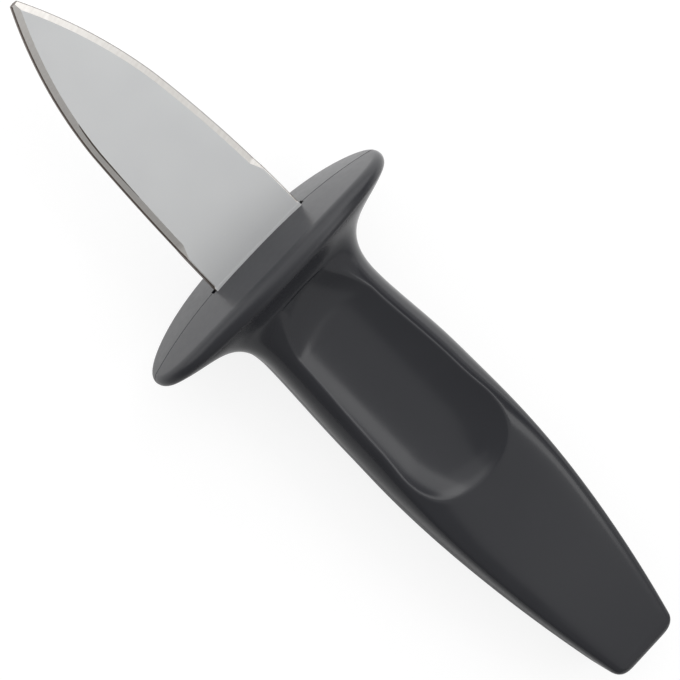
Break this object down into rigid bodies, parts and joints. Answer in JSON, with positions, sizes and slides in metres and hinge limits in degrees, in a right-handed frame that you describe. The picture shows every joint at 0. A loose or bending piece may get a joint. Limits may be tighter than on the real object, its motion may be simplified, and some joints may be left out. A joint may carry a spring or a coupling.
{
  "type": "oyster knife",
  "caption": "Oyster knife: a short bevelled spear blade whose tang is moulded into a black plastic handle with a wide oval guard and a finger hollow on each face.",
  "frame": {"origin": "middle of the whole knife's box, on the parting plane of the handle and the middle plane of the blade", "axes": "+X from the butt of the handle to the tip of the blade, +Y across the blade towards its straighter edge, +Z out of the blade's shown face"},
  "size_m": [0.1658, 0.056, 0.03],
  "materials": {
    "steel": "fine ground and glazed flats, coarser ground bevels",
    "black_plastic": "glossy as moulded"
  },
  "bodies": {
    "root": {"blade": "steel", "handle": "black_plastic"}
  },
  "joints": []
}
